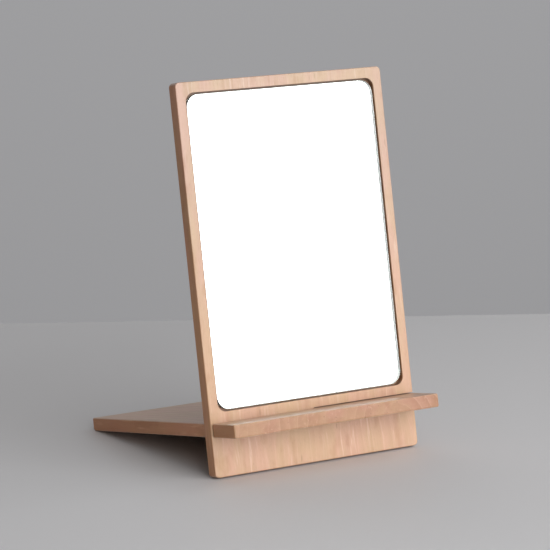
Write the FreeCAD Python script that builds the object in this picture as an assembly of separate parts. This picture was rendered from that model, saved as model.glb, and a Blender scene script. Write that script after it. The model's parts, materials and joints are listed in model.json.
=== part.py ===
"""Leaning table mirror made of two wooden boards that cross in a half-lap joint.

The upright panel carries a silvered pane in a shallow routed recess. The stand board crosses it at a right
angle: its front end is a shelf under the mirror and its rear end is the leg. Each board is slotted to
mid-width, the panel from its right edge and the stand board from its left edge, so the stand board slides
in from the right. The panel stands on its rear bottom edge and the leg on its rear lower edge.

Both boards are drawn square to each other, with the panel upright, its front face at y = 0 and its bottom
at z = 0. The finished pieces are then leaned back together until both feet are on the table.

Final frame: +X to the right seen from the front, +Y towards the back, +Z up. The origin is on the table,
at the centre of the object's outline.
"""

import FreeCAD, Part
import math
import os

from FreeCAD import Vector

# Upright panel, millimetres
panel_width = 210.0
panel_height = 341.0
panel_thickness = 12.0
panel_corner_radius = 4.0
panel_edge_round = 1.0

# Stand board: as wide as the panel, and a little to the right of it
board_offset = 1.5          # from the panel's middle to the board's
board_thickness = 12.0
board_underside = 35.0      # from the panel's bottom edge, measured along the panel
shelf_projection = 38.0     # in front of the panel
leg_length = 213.5          # behind the panel
board_edge_round = 1.5
foot_round = 3.0            # rear lower edge, which stands on the table

# Half-lap joint
seat_gap = 0.1              # at the cheeks and slot ends that bear on each other
gap_above_board = 0.8       # between the board's top and the panel's slot
gap_before_panel = 1.4      # between the panel's front face and the board's slot

# Recess for the mirror
side_margin = 9.0
top_margin = 9.5
bottom_margin = 56.0
recess_corner_radius = 8.0

# Mirror pane, its silvering and its mounting tape, from the front to the floor of the recess
side_gap = 0.9              # between the pane and the recess wall, left and right
end_gap = 1.5               # the same at the top and bottom
mirror_setback = 1.5        # from the panel's front face to the pane
mirror_thickness = 3.0
mirror_corner_radius = 12.0
mirror_arris = 0.4
silvering_gap = 0.05        # keeps the silvering's face apart from the pane's
silvering_thickness = 0.1   # silver with its protective paint
tape_thickness = 0.9
tape_width = 18.0
tape_inset = 12.0           # from the pane's edges to the strips

# Sizes that follow from the ones above
silvering_front = mirror_setback + mirror_thickness + silvering_gap
tape_front = silvering_front + silvering_thickness
recess_depth = tape_front + tape_thickness
recess_width = panel_width - 2 * side_margin
recess_height = panel_height - top_margin - bottom_margin
mirror_width = recess_width - 2 * side_gap
mirror_height = recess_height - 2 * end_gap
mirror_bottom = bottom_margin + end_gap
cut_overrun = 5.0           # how far a cutter runs past the wood


def lies_along(edge, axis):
    """True for a straight edge that is parallel to the axis."""
    if not isinstance(edge.Curve, Part.Line):
        return False
    return edge.Curve.Direction.cross(axis).Length < 1e-6


def is_at_depth(edge, depth):
    """True for an edge that lies in the plane y = depth."""
    box = edge.BoundBox
    return abs(box.YMin - depth) < 1e-6 and abs(box.YMax - depth) < 1e-6


def upright_sheet(width, height, thickness, corner_radius, front, bottom):
    """A sheet facing -Y, centred on x = 0, with rounded corners."""
    sheet = Part.makeBox(width, thickness, height, Vector(-width / 2, front, bottom))
    corners = [edge for edge in sheet.Edges if lies_along(edge, Vector(0, 1, 0))]
    return sheet.makeFillet(corner_radius, corners)


def make_panel():
    """Panel with eased edges, the mirror's recess and the slot that is open at the right edge."""
    panel = upright_sheet(panel_width, panel_height, panel_thickness, panel_corner_radius, 0, 0)
    rims = [edge for edge in panel.Edges if is_at_depth(edge, 0) or is_at_depth(edge, panel_thickness)]
    panel = panel.makeFillet(panel_edge_round, rims)
    recess = upright_sheet(
        recess_width, recess_height, recess_depth + cut_overrun, recess_corner_radius,
        -cut_overrun, bottom_margin,
    )
    slot = Part.makeBox(
        panel_width / 2 + seat_gap / 2 + cut_overrun,
        panel_thickness + 2 * cut_overrun,
        seat_gap + board_thickness + gap_above_board,
        Vector(-seat_gap / 2, -cut_overrun, board_underside - seat_gap),
    )
    return panel.cut(recess).cut(slot)


def make_stand_board():
    """Shelf and leg in one board, with the slot that is open at the left edge."""
    length = shelf_projection + panel_thickness + leg_length
    board = Part.makeBox(
        panel_width, length, board_thickness,
        Vector(board_offset - panel_width / 2, -shelf_projection, board_underside),
    )
    rear = panel_thickness + leg_length
    foot = [
        edge for edge in board.Edges
        if is_at_depth(edge, rear) and abs(edge.BoundBox.ZMax - board_underside) < 1e-6
    ]
    board = board.makeFillet(foot_round, foot)
    upright_corners = [edge for edge in board.Edges if lies_along(edge, Vector(0, 0, 1))]
    end_rims = [
        edge for edge in board.Edges
        if edge.BoundBox.XLength < 1e-6 and edge not in upright_corners
    ]
    long_rims = [
        edge for edge in board.Edges
        if lies_along(edge, Vector(1, 0, 0))
        and (edge.BoundBox.YMax < 0 or edge.BoundBox.ZMin > board_underside + foot_round)
    ]
    board = board.makeFillet(board_edge_round, upright_corners + end_rims + long_rims)
    slot = Part.makeBox(
        panel_width / 2 + seat_gap / 2 + cut_overrun,
        gap_before_panel + panel_thickness + seat_gap,
        board_thickness + 2 * cut_overrun,
        Vector(-panel_width / 2 - cut_overrun, -gap_before_panel, board_underside - cut_overrun),
    )
    return board.cut(slot)


def make_glass():
    """Glass pane with a small ground arris on its front edge."""
    pane = upright_sheet(
        mirror_width, mirror_height, mirror_thickness, mirror_corner_radius, mirror_setback, mirror_bottom
    )
    front_rim = [edge for edge in pane.Edges if is_at_depth(edge, mirror_setback)]
    return pane.makeChamfer(mirror_arris, front_rim)


def make_silvering():
    """The reflecting coat behind the pane, with the pane's own outline."""
    return upright_sheet(
        mirror_width, mirror_height, silvering_thickness, mirror_corner_radius, silvering_front, mirror_bottom
    )


def make_tape_strip(centre):
    """One upright strip of mounting tape between the silvering and the floor of the recess."""
    return Part.makeBox(
        tape_width, tape_thickness, mirror_height - 2 * tape_inset,
        Vector(centre - tape_width / 2, tape_front, mirror_bottom + tape_inset),
    )


def lean_angle():
    """Angle in radians from the table to the stand board: the table touches both rounded feet."""
    along = leg_length - foot_round + panel_edge_round
    rise = board_underside + foot_round - panel_edge_round
    apart = math.hypot(along, rise)
    return math.atan2(rise, along) - math.asin((foot_round - panel_edge_round) / apart)


def make_pieces():
    """Every piece in the square frame, by name."""
    outer_strip = mirror_width / 2 - tape_inset - tape_width / 2
    return {
        "mirror_panel": make_panel(),
        "stand_board": make_stand_board(),
        "mirror_glass": make_glass(),
        "mirror_silvering": make_silvering(),
        "mounting_tape_left": make_tape_strip(-outer_strip),
        "mounting_tape_centre": make_tape_strip(0),
        "mounting_tape_right": make_tape_strip(outer_strip),
    }


def stand_on_table(pieces):
    """Lean all the pieces back together, and put the origin under the middle of the object."""
    lean = math.degrees(lean_angle())
    for shape in pieces.values():
        shape.rotate(Vector(0, 0, 0), Vector(1, 0, 0), -lean)
    outline = Part.makeCompound(list(pieces.values())).optimalBoundingBox(False, False)
    middle = Vector((outline.XMin + outline.XMax) / 2, (outline.YMin + outline.YMax) / 2, outline.ZMin)
    for shape in pieces.values():
        shape.translate(-middle)
    return lean, middle


def main():
    pieces = make_pieces()
    lean, middle = stand_on_table(pieces)
    os.makedirs("parts", exist_ok=True)
    for name, shape in pieces.items():
        shape.exportStep(f"parts/{name}.step")
        print(name, "solids", len(shape.Solids), "valid", shape.isValid(), "cm3", round(shape.Volume / 1000, 2))
    print("lean", round(lean, 3), "degrees, origin moved by", middle)


main()
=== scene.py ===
"""Looks of the leaning table mirror: oiled wood, a silvered pane, and a plain studio.

Every shape comes from the CAD nodes. This script gives each of them its material, and adds the floor, the
backdrop, the lights and the camera. Lengths are in metres.
"""

import json
import math

import bpy
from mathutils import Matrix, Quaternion, Vector

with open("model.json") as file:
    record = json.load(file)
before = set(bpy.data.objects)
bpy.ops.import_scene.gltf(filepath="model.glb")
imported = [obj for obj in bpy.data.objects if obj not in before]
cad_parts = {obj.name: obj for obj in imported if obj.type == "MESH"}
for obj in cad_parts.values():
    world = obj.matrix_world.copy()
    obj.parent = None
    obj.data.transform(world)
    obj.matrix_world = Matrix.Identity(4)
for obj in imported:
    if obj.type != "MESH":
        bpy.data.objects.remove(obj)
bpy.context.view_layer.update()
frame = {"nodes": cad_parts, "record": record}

# The board frame: x across the panel, y from its front face towards the back, and z up the panel from its
# foot. The record gives the middle of the panel's bottom end, and which way that end faces.
panel_thickness = 0.012
foot = frame["record"]["mounts"][0]
lean = math.atan2(-foot["axis"][1], -foot["axis"][2])
into_panel = Vector((0.0, math.cos(lean), -math.sin(lean)))
board_origin = Vector(foot["pos_m"]) - into_panel * panel_thickness / 2

# Camera
camera_azimuth = math.radians(31.293)
camera_elevation = math.radians(10.164)
camera_roll = math.radians(1.033)
camera_distance = 2.478
camera_aim = Vector((0.01031, -0.01165, 0.15425))
focal_length = 180.85          # millimetres, as the sensor's width is
sensor_width = 36.0

# Growth rings: where the middle of the trunk was, as (across, depth), how far apart the rings are, and how
# strongly they show
panel_pith = (-0.140, 0.070)
panel_ring_width = 0.0085
panel_ring_strength = 0.12
stand_pith = (0.062, 0.0250)
stand_ring_width = 0.0094
stand_ring_strength = 0.40
ring_wander = 0.007            # slow straying of the rings, to either side
ring_ripple = 0.0012           # quick straying
ring_taper = 0.03              # how much a point's distance along the grain counts in its ring's radius
grain_bend = 0.005             # sideways bend of the grain, to either side

# Wood marks: how wide each is across the grain, and how long along it
bend_size = (0.030, 0.080)
wander_size = (0.040, 0.25)
ripple_size = (0.006, 0.08)
patch_size = (0.024, 0.070)
band_size = (0.012, 0.120)
cloud_size = (0.010, 0.026)
clear_ring_size = (0.045, 0.10)
streak_crowd_size = (0.026, 0.055)
streak_size = (0.0030, 0.032)
fleck_size = (0.0030, 0.013)
fibre_size = (0.0011, 0.016)
pore_size = (0.00055, 0.0045)
fleck_share = 0.13             # of the possible flecks, how many there are
pore_share = 0.60
pore_strength = 0.22

# Wood colours
wood_yellow = (0.600, 0.395, 0.240)
wood_pink = (0.625, 0.378, 0.262)
wood_late = (0.440, 0.225, 0.120)
wood_pale = (0.740, 0.540, 0.400)
wood_dark = (0.230, 0.110, 0.055)

# Tints, which multiply the wood's colour
untinted = (1.0, 1.0, 1.0)
band_tints = ((0.90, 0.88, 0.86), (1.08, 1.09, 1.10))
fibre_tints = ((0.93, 0.91, 0.89), (1.06, 1.07, 1.08))
cloud_tint = (0.90, 0.85, 0.80)
end_grain_tint = (0.76, 0.65, 0.61)
eased_edge_tint = (0.94, 0.90, 0.87)
# Painted shade: the side tints make the sides of both boards darker and warmer, as they look in shade
panel_side_shade_tint = (0.92, 0.69, 0.52)
board_side_shade_tint = (0.92, 0.65, 0.47)
# Painted shade in the panel's recess, below its rim
recess_shade_tint = (0.48, 0.43, 0.40)
# Painted sheen: paler and greyer towards the panel's top, where the light's reflection falls
panel_top_sheen_tint = (0.93, 1.01, 1.13)

# Where the panel's recess is darkened with painted shade and where its top is paled with a painted sheen, in
# the board frame
recess_shade_start = 0.0008           # below the front face
recess_shade_full = 0.0030
unshaded_back = 0.0005        # in front of the back face
recess_shade_bottom = 0.050           # between the panel's slot and its recess
recess_shade_top = 0.335              # above the recess
recess_shade_reach = 0.100            # beyond the recess, left and right
sheen_start = 0.06
sheen_full = 0.30

# Wood finish
fibre_roughness = (0.36, 0.52)
end_grain_roughness = 0.06     # more than on the faces
eased_edge_polish = 0.10       # less rough than on the faces
face_coat = 0.45
side_coat = 0.10
coat_roughness = 0.28
fibre_relief = 0.6             # in the bump's height, beside the pores' 1
ring_relief = 0.3
wood_bump = 0.45
wood_bump_height = 0.00010
edge_search = 0.0012           # how far off an edge is looked for

# Mirror and tape
ground_glass = (0.34, 0.40, 0.37)
clear_glass = (0.985, 0.995, 0.990)
grind_marks = 2500.0           # in a metre, as the three below
smears = 25.0
silver_blotches = 60.0
paint_specks = 900.0
ground_roughness = (0.30, 0.50)
smear_roughness = 0.012
glass_ior = 1.52
silver_tones = ((0.925, 0.930, 0.925), (0.945, 0.948, 0.942))
silver_roughness = (0.0, 0.01)
paint_tones = ((0.17, 0.18, 0.18), (0.23, 0.235, 0.235))
paint_roughness = (0.45, 0.65)
foam_tones = ((0.66, 0.66, 0.64), (0.86, 0.86, 0.84))
foam_roughness = (0.75, 0.95)
foam_cells = 2500.0            # in a metre
foam_bump = 0.6
foam_bump_height = 0.0001

# Studio: the floor and the backdrop, which face the camera
floor_colour = (0.65, 0.645, 0.655)
floor_roughness = 0.55
floor_front = 6.0              # from the object to the floor's front edge
floor_reach = 0.58             # from the object to the floor's rear edge
floor_half_width = 6.0
wall_colour = (0.70, 0.70, 0.72)
wall_roughness = 0.9
wall_glow = 0.185
wall_distance = 5.0
wall_half_width = 16.0
wall_bottom = -4.0
wall_top = 5.0
world_colour = (1.0, 0.99, 0.98, 1.0)
world_strength = 0.155

# Studio: each light's azimuth and elevation in degrees, its width and height, and its watts
light_distance = 2.4
light_raise = 0.1              # height of the point that the lights face
unreflected_lights = ["key_fill"]
lights = {
    "key_softbox": (12.0, 16.0, 3.4, 2.3, 42.0),
    "key_fill": (6.0, 16.0, 3.2, 2.1, 40.0),
    "side_softbox": (75.0, 42.0, 1.2, 1.2, 6.7),
    "top_softbox": (20.0, 68.0, 1.2, 1.2, 4.0),
    "back_softbox": (180.0, 48.0, 1.4, 1.4, 5.2),
}


# ---------------------------------------------------------------- node helpers

def node(tree, kind, inputs, **settings):
    """Add a node. Each input is given a plain value, or is linked from an output socket."""
    made = tree.nodes.new(kind)
    for name, value in settings.items():
        setattr(made, name, value)
    for name, value in inputs.items():
        if isinstance(value, bpy.types.NodeSocket):
            tree.links.new(value, made.inputs[name])
        else:
            made.inputs[name].default_value = value
    return made


def calc(tree, operation, first, second=0.0):
    return node(tree, "ShaderNodeMath", {0: first, 1: second}, operation=operation).outputs[0]


def vector_calc(tree, operation, first, second):
    return node(tree, "ShaderNodeVectorMath", {0: first, 1: second}, operation=operation).outputs["Vector"]


def axes_of(tree, vector):
    """The vector's parts, named X, Y and Z."""
    return node(tree, "ShaderNodeSeparateXYZ", {"Vector": vector}).outputs


def flip(tree, value):
    """1 where the value is 0, and 0 where it is 1."""
    return calc(tree, "SUBTRACT", 1.0, value)


def ease(tree, value, start, end):
    """0 below start, 1 above end, and smooth between."""
    return node(
        tree, "ShaderNodeMapRange",
        {"Value": value, "From Min": start, "From Max": end, "To Min": 0.0, "To Max": 1.0},
        interpolation_type="SMOOTHSTEP",
    ).outputs["Result"]


def remap(tree, value, low, high):
    """Spread a value of 0 to 1 over low to high."""
    return node(
        tree, "ShaderNodeMapRange", {"Value": value, "To Min": low, "To Max": high}
    ).outputs["Result"]


def mix_number(tree, share, first, second):
    return node(tree, "ShaderNodeMix", {0: share, 2: first, 3: second}).outputs[0]


def mix(tree, share, first, second, blend="MIX"):
    """Blend two colours. Each is a plain colour or an output socket."""
    made = tree.nodes.new("ShaderNodeMix")
    made.data_type = "RGBA"
    made.blend_type = blend
    for index, value in ((0, share), (6, first), (7, second)):
        if isinstance(value, bpy.types.NodeSocket):
            tree.links.new(value, made.inputs[index])
        elif index == 0:
            made.inputs[index].default_value = value
        else:
            made.inputs[index].default_value = (*value, 1.0)
    return made.outputs[2]


def tint(tree, colour, value, dark, light):
    """Multiply the colour by dark where the value is 0 and by light where it is 1."""
    return mix(tree, 1.0, colour, mix(tree, value, dark, light), "MULTIPLY")


def add_bump(tree, shader, relief, strength, height):
    bump = node(tree, "ShaderNodeBump", {"Height": relief, "Strength": strength, "Distance": height})
    tree.links.new(bump.outputs["Normal"], shader.inputs["Normal"])


def new_material(name):
    material = bpy.data.materials.new(name)
    material.use_nodes = True
    tree = material.node_tree
    return material, tree, tree.nodes["Principled BSDF"]


def board_place(tree):
    """Where a point is in the board frame, in metres."""
    place = node(tree, "ShaderNodeTexCoord", {}).outputs["Object"]
    return node(
        tree, "ShaderNodeMapping",
        {"Vector": place, "Location": board_origin, "Rotation": (-lean, 0.0, 0.0)},
        vector_type="TEXTURE",
    ).outputs["Vector"]


def board_normal(tree):
    """Which way the surface faces, in the board frame."""
    normal = node(tree, "ShaderNodeTexCoord", {}).outputs["Normal"]
    return node(
        tree, "ShaderNodeMapping", {"Vector": normal, "Rotation": (lean, 0.0, 0.0)}, vector_type="POINT"
    ).outputs["Vector"]


def stretched(tree, place, size):
    """The place, counted in marks of this size: (across the grain, along it)."""
    width, length = size
    return vector_calc(tree, "MULTIPLY", place, (1 / width, 1 / width, 1 / length))


def grain_noise(tree, place, size, detail=2.0, roughness=0.5):
    """Noise in patches of this size: (across the grain, along it)."""
    return node(
        tree, "ShaderNodeTexNoise",
        {"Vector": stretched(tree, place, size), "Scale": 1.0, "Detail": detail, "Roughness": roughness},
    ).outputs["Fac"]


def even_noise(tree, place, scale, detail, distortion=0.0):
    """Noise with no direction. scale is about how many patches there are in a metre."""
    return node(
        tree, "ShaderNodeTexNoise",
        {"Vector": place, "Scale": scale, "Detail": detail, "Distortion": distortion},
    ).outputs["Fac"]


# ---------------------------------------------------------------- wood

def turned_to_grain(tree, vector, order):
    """The vector as (across, depth, along the grain). order names the board frame's axes."""
    parts = axes_of(tree, vector)
    return node(
        tree, "ShaderNodeCombineXYZ", {slot: parts[axis] for slot, axis in zip("XYZ", order)}
    ).outputs["Vector"]


def faces_along(tree, part):
    """1 on the surfaces that face along this axis, either way, and 0 on the others."""
    return ease(tree, calc(tree, "ABSOLUTE", part), 0.70, 0.97)


def ring_place(tree, place, pith, ring_width):
    """How far through its growth ring a point is, from 0 to 1. The rings wander a little along the grain."""
    from_pith = vector_calc(tree, "SUBTRACT", place, (*pith, 0.0))
    flat = vector_calc(tree, "MULTIPLY", from_pith, (1.0, 1.0, ring_taper))
    radius = node(tree, "ShaderNodeVectorMath", {0: flat}, operation="LENGTH").outputs["Value"]
    wander = remap(tree, grain_noise(tree, place, wander_size, 1.0), -ring_wander, ring_wander)
    ripple = remap(tree, grain_noise(tree, place, ripple_size), -ring_ripple, ring_ripple)
    wandered = calc(tree, "ADD", calc(tree, "ADD", radius, wander), ripple)
    return calc(tree, "FRACT", calc(tree, "DIVIDE", wandered, ring_width))


def flecks(tree, place, size, share):
    """Small spindle-shaped marks along the grain. share is how many of the possible ones there are."""
    cells = node(tree, "ShaderNodeTexVoronoi", {"Vector": stretched(tree, place, size), "Scale": 1.0})
    inside = flip(tree, ease(tree, cells.outputs["Distance"], 0.10, 0.34))
    pick = axes_of(tree, cells.outputs["Color"])["X"]
    return calc(tree, "MULTIPLY", inside, ease(tree, pick, 1.0 - share, 1.1 - share))


def worn_edges(tree):
    """1 on the eased edges and 0 on the flat faces."""
    rounded = node(tree, "ShaderNodeBevel", {"Radius": edge_search}, samples=4).outputs["Normal"]
    face = node(tree, "ShaderNodeNewGeometry", {}).outputs["Normal"]
    alike = node(
        tree, "ShaderNodeVectorMath", {0: rounded, 1: face}, operation="DOT_PRODUCT"
    ).outputs["Value"]
    return ease(tree, flip(tree, alike), 0.005, 0.12)


def bent_grain(tree, place):
    """Bend the grain a little sideways, so that no streak is dead straight."""
    bend = remap(tree, grain_noise(tree, place, bend_size, 1.0), -grain_bend, grain_bend)
    offset = node(tree, "ShaderNodeCombineXYZ", {"X": bend}).outputs["Vector"]
    return vector_calc(tree, "ADD", place, offset)


def ground_colour(tree, place):
    """Pinker and yellower patches, crossed by broad soft bands and a few browner clouds."""
    patches = ease(tree, grain_noise(tree, place, patch_size), 0.35, 0.65)
    bands = grain_noise(tree, place, band_size)
    clouds = ease(tree, grain_noise(tree, place, cloud_size), 0.50, 0.72)
    colour = mix(tree, patches, wood_yellow, wood_pink)
    colour = tint(tree, colour, bands, *band_tints)
    return tint(tree, colour, clouds, untinted, cloud_tint)


def with_rings(tree, colour, place, in_ring, strength):
    """Growth rings: slowly darker, then a thin pale line, and clearer in some places than in others."""
    clear = remap(tree, ease(tree, grain_noise(tree, place, clear_ring_size, 1.0), 0.35, 0.60), 0.25, 1.0)
    late = calc(tree, "MULTIPLY", ease(tree, in_ring, 0.15, 0.90), clear)
    off_line = calc(tree, "ABSOLUTE", calc(tree, "SUBTRACT", in_ring, 0.07))
    line = calc(tree, "MULTIPLY", flip(tree, ease(tree, off_line, 0.01, 0.07)), clear)
    colour = mix(tree, calc(tree, "MULTIPLY", late, strength), colour, wood_late)
    return mix(tree, calc(tree, "MULTIPLY", line, strength), colour, wood_pale)


def with_streaks(tree, colour, place):
    """Pale streaks that crowd together in places, and short dark flecks elsewhere."""
    crowded = ease(tree, grain_noise(tree, place, streak_crowd_size, 1.0), 0.42, 0.60)
    streak = ease(tree, grain_noise(tree, place, streak_size), 0.56, 0.70)
    streak = calc(tree, "MULTIPLY", streak, remap(tree, crowded, 0.15, 0.60))
    fleck = flecks(tree, place, fleck_size, fleck_share)
    fleck = calc(tree, "MULTIPLY", fleck, remap(tree, crowded, 0.45, 0.15))
    return mix(tree, fleck, mix(tree, streak, colour, wood_pale), wood_dark)


def painted_recess_shade(tree, colour):
    """Painted shade in the panel's recess: darken it below its rim, as the narrow gap around the pane is in
    shade, so that no pale wood shows around the pane.
    """
    parts = axes_of(tree, board_place(tree))
    before_back = calc(tree, "LESS_THAN", parts["Y"], panel_thickness - unshaded_back)
    between_sides = calc(tree, "LESS_THAN", calc(tree, "ABSOLUTE", parts["X"]), recess_shade_reach)
    above_slot = calc(tree, "GREATER_THAN", parts["Z"], recess_shade_bottom)
    below_top = calc(tree, "LESS_THAN", parts["Z"], recess_shade_top)
    shaded = ease(tree, parts["Y"], recess_shade_start, recess_shade_full)
    for inside in (before_back, between_sides, above_slot, below_top):
        shaded = calc(tree, "MULTIPLY", shaded, inside)
    return tint(tree, colour, shaded, untinted, recess_shade_tint)


def painted_top_sheen(tree, colour):
    """Painted sheen: the panel is a little paler and greyer towards its top, as the light's reflection makes
    it look.
    """
    height = axes_of(tree, board_place(tree))["Z"]
    return tint(tree, colour, ease(tree, height, sheen_start, sheen_full), untinted, panel_top_sheen_tint)


def wood_figure(tree, place, in_ring, ring_strength, fibre, pores):
    """The wood's colour, before its ends, sides and edges are told apart."""
    colour = with_rings(tree, ground_colour(tree, place), place, in_ring, ring_strength)
    colour = with_streaks(tree, colour, place)
    colour = tint(tree, colour, fibre, *fibre_tints)
    return mix(tree, calc(tree, "MULTIPLY", pores, pore_strength), colour, wood_dark)


def wood(name, order, pith, ring_width, ring_strength, side_shade_tint, recessed=False):
    """Fine-grained pale hardwood, sanded and oiled.

    order names the board frame's axes that are across the grain, through its depth and along it.
    """
    material, tree, shader = new_material(name)
    place = bent_grain(tree, turned_to_grain(tree, board_place(tree), order))
    facing = axes_of(tree, turned_to_grain(tree, board_normal(tree), order))
    in_ring = ring_place(tree, place, pith, ring_width)
    fibre = grain_noise(tree, place, fibre_size, 3.0, 0.6)
    pores = flecks(tree, place, pore_size, pore_share)
    colour = wood_figure(tree, place, in_ring, ring_strength, fibre, pores)

    # The sawn ends drink more oil and are darker; the sides get painted shade, darker and warmer as they
    # look in shade; the eased edges are handled most
    end_grain = faces_along(tree, facing["Z"])
    side = faces_along(tree, facing["X"])
    edges = worn_edges(tree)
    colour = tint(tree, colour, end_grain, untinted, end_grain_tint)
    colour = tint(tree, colour, side, untinted, side_shade_tint)
    colour = tint(tree, colour, edges, untinted, eased_edge_tint)
    # The panel also gets painted shade in its recess and a painted sheen towards its top
    if recessed:
        colour = painted_recess_shade(tree, painted_top_sheen(tree, colour))
    tree.links.new(colour, shader.inputs["Base Color"])

    roughness = remap(tree, fibre, *fibre_roughness)
    roughness = calc(tree, "ADD", roughness, calc(tree, "MULTIPLY", end_grain, end_grain_roughness))
    roughness = calc(tree, "SUBTRACT", roughness, calc(tree, "MULTIPLY", edges, eased_edge_polish))
    tree.links.new(roughness, shader.inputs["Roughness"])
    tree.links.new(remap(tree, side, face_coat, side_coat), shader.inputs["Coat Weight"])
    shader.inputs["Coat Roughness"].default_value = coat_roughness

    relief = calc(tree, "SUBTRACT", calc(tree, "MULTIPLY", fibre, fibre_relief), pores)
    relief = calc(tree, "ADD", relief, calc(tree, "MULTIPLY", in_ring, ring_relief))
    add_bump(tree, shader, relief, wood_bump, wood_bump_height)
    return material


# ---------------------------------------------------------------- mirror

def pane_glass():
    """Clear float glass with ground edges."""
    material, tree, shader = new_material("pane_glass")
    facing = axes_of(tree, board_normal(tree))
    flat = ease(tree, calc(tree, "ABSOLUTE", facing["Y"]), 0.90, 0.99)
    place = board_place(tree)
    grind = even_noise(tree, place, grind_marks, 2.0)
    smear = even_noise(tree, place, smears, 3.0, 1.0)
    polished = calc(tree, "MULTIPLY", ease(tree, smear, 0.55, 0.80), smear_roughness)
    ground_edge = remap(tree, grind, *ground_roughness)
    tree.links.new(mix(tree, flat, ground_glass, clear_glass), shader.inputs["Base Color"])
    tree.links.new(mix_number(tree, flat, ground_edge, polished), shader.inputs["Roughness"])
    shader.inputs["IOR"].default_value = glass_ior
    shader.inputs["Transmission Weight"].default_value = 1.0
    return material


def silver_coat():
    """Bright silver in front, grey protective paint behind and on the rim."""
    material, tree, shader = new_material("silver_coat")
    facing = axes_of(tree, board_normal(tree))
    silver = flip(tree, ease(tree, facing["Y"], -0.95, -0.85))
    place = board_place(tree)
    blotches = even_noise(tree, place, silver_blotches, 4.0)
    spray = even_noise(tree, place, paint_specks, 3.0)
    bright = mix(tree, blotches, *silver_tones)
    paint = mix(tree, spray, *paint_tones)
    tree.links.new(mix(tree, silver, paint, bright), shader.inputs["Base Color"])
    tree.links.new(silver, shader.inputs["Metallic"])
    painted = remap(tree, spray, *paint_roughness)
    silvered = remap(tree, blotches, *silver_roughness)
    tree.links.new(mix_number(tree, silver, painted, silvered), shader.inputs["Roughness"])
    return material


def tape_foam():
    """White closed-cell foam."""
    material, tree, shader = new_material("tape_foam")
    place = board_place(tree)
    cells = node(tree, "ShaderNodeTexVoronoi", {"Vector": place, "Scale": foam_cells}).outputs["Distance"]
    tree.links.new(mix(tree, cells, *foam_tones), shader.inputs["Base Color"])
    tree.links.new(remap(tree, cells, *foam_roughness), shader.inputs["Roughness"])
    add_bump(tree, shader, cells, foam_bump, foam_bump_height)
    return material


def dress(names, material):
    """Give these CAD nodes this material."""
    for name in names:
        mesh = frame["nodes"][name].data
        mesh.materials.clear()
        mesh.materials.append(material)


# ---------------------------------------------------------------- studio

def plain_material(name, colour, roughness, glow=0.0):
    material, tree, shader = new_material(name)
    shader.inputs["Base Color"].default_value = (*colour, 1.0)
    shader.inputs["Roughness"].default_value = roughness
    shader.inputs["Emission Color"].default_value = (*colour, 1.0)
    shader.inputs["Emission Strength"].default_value = glow
    return material


def stage_sheet(name, corners, material):
    """One flat face that belongs to the studio and not to the object."""
    mesh = bpy.data.meshes.new(name)
    mesh.from_pydata(corners, [], [tuple(range(len(corners)))])
    mesh.materials.append(material)
    sheet = bpy.data.objects.new(name, mesh)
    bpy.context.scene.collection.objects.link(sheet)


def direction(azimuth, elevation):
    """From the object towards this azimuth and elevation, in degrees."""
    turn = math.radians(azimuth)
    rise = math.radians(elevation)
    return Vector((math.sin(turn) * math.cos(rise), -math.cos(turn) * math.cos(rise), math.sin(rise)))


def area_light(name, azimuth, elevation, width, height, watts):
    """A softbox that faces the object. Azimuth 0 is in front of the object and 90 to its right."""
    data = bpy.data.lights.new(name, "AREA")
    data.shape = "RECTANGLE"
    data.size = width
    data.size_y = height
    data.energy = watts
    outward = direction(azimuth, elevation)
    light = bpy.data.objects.new(name, data)
    light.location = outward * light_distance + Vector((0, 0, light_raise))
    light.rotation_mode = "QUATERNION"
    light.rotation_quaternion = outward.to_track_quat("Z", "Y")
    light.visible_camera = False
    light.visible_glossy = name not in unreflected_lights
    bpy.context.scene.collection.objects.link(light)


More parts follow.
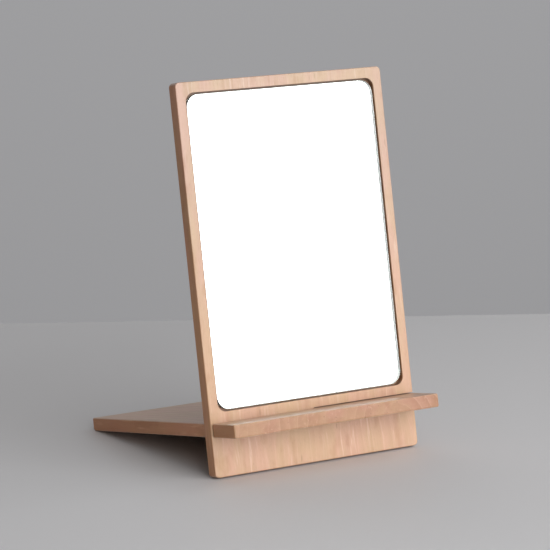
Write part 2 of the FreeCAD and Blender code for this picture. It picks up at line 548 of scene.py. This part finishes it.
def make_floor(away, side):
    """away points away from the camera and side to its right, both level."""
    near = -floor_front * away
    far = floor_reach * away
    across = floor_half_width * side
    stage_sheet(
        "floor",
        [near - across, near + across, far + across, far - across],
        plain_material("floor_pale", floor_colour, floor_roughness),
    )


def make_backdrop(away, side):
    """Upright sheet behind the floor. It glows a little, so that it needs no light of its own."""
    wall = wall_distance * away
    across = wall_half_width * side
    low = Vector((0, 0, wall_bottom))
    high = Vector((0, 0, wall_top))
    stage_sheet(
        "backdrop",
        [wall - across + low, wall + across + low, wall + across + high, wall - across + high],
        plain_material("backdrop_grey", wall_colour, wall_roughness, wall_glow),
    )


def make_world():
    world = bpy.data.worlds.new("studio")
    world.use_nodes = True
    background = world.node_tree.nodes["Background"]
    background.inputs["Color"].default_value = world_colour
    background.inputs["Strength"].default_value = world_strength
    bpy.context.scene.world = world


def make_studio():
    away = Vector((math.sin(camera_azimuth), math.cos(camera_azimuth), 0.0))
    side = Vector((away.y, -away.x, 0.0))
    make_floor(away, side)
    make_backdrop(away, side)
    for name, settings in lights.items():
        area_light(name, *settings)
    make_world()
    bpy.context.scene.view_settings.view_transform = "Standard"


def make_camera():
    toward = Vector((
        math.sin(camera_azimuth) * math.cos(camera_elevation),
        math.cos(camera_azimuth) * math.cos(camera_elevation),
        -math.sin(camera_elevation),
    ))
    data = bpy.data.cameras.new("camera")
    data.lens = focal_length
    data.sensor_width = sensor_width
    camera = bpy.data.objects.new("camera", data)
    camera.location = camera_aim - toward * camera_distance
    camera.rotation_mode = "QUATERNION"
    camera.rotation_quaternion = toward.to_track_quat("-Z", "Y") @ Quaternion((0, 0, 1), -camera_roll)
    bpy.context.scene.collection.objects.link(camera)
    bpy.context.scene.camera = camera


make_camera()
make_studio()
panel_wood = wood(
    "panel_wood", "XYZ", panel_pith, panel_ring_width, panel_ring_strength, panel_side_shade_tint, recessed=True
)
board_wood = wood("board_wood", "XZY", stand_pith, stand_ring_width, stand_ring_strength, board_side_shade_tint)
dress(["mirror_panel"], panel_wood)
dress(["stand_board"], board_wood)
dress(["mirror_glass"], pane_glass())
dress(["mirror_silvering"], silver_coat())
dress(["mounting_tape_left", "mounting_tape_centre", "mounting_tape_right"], tape_foam())
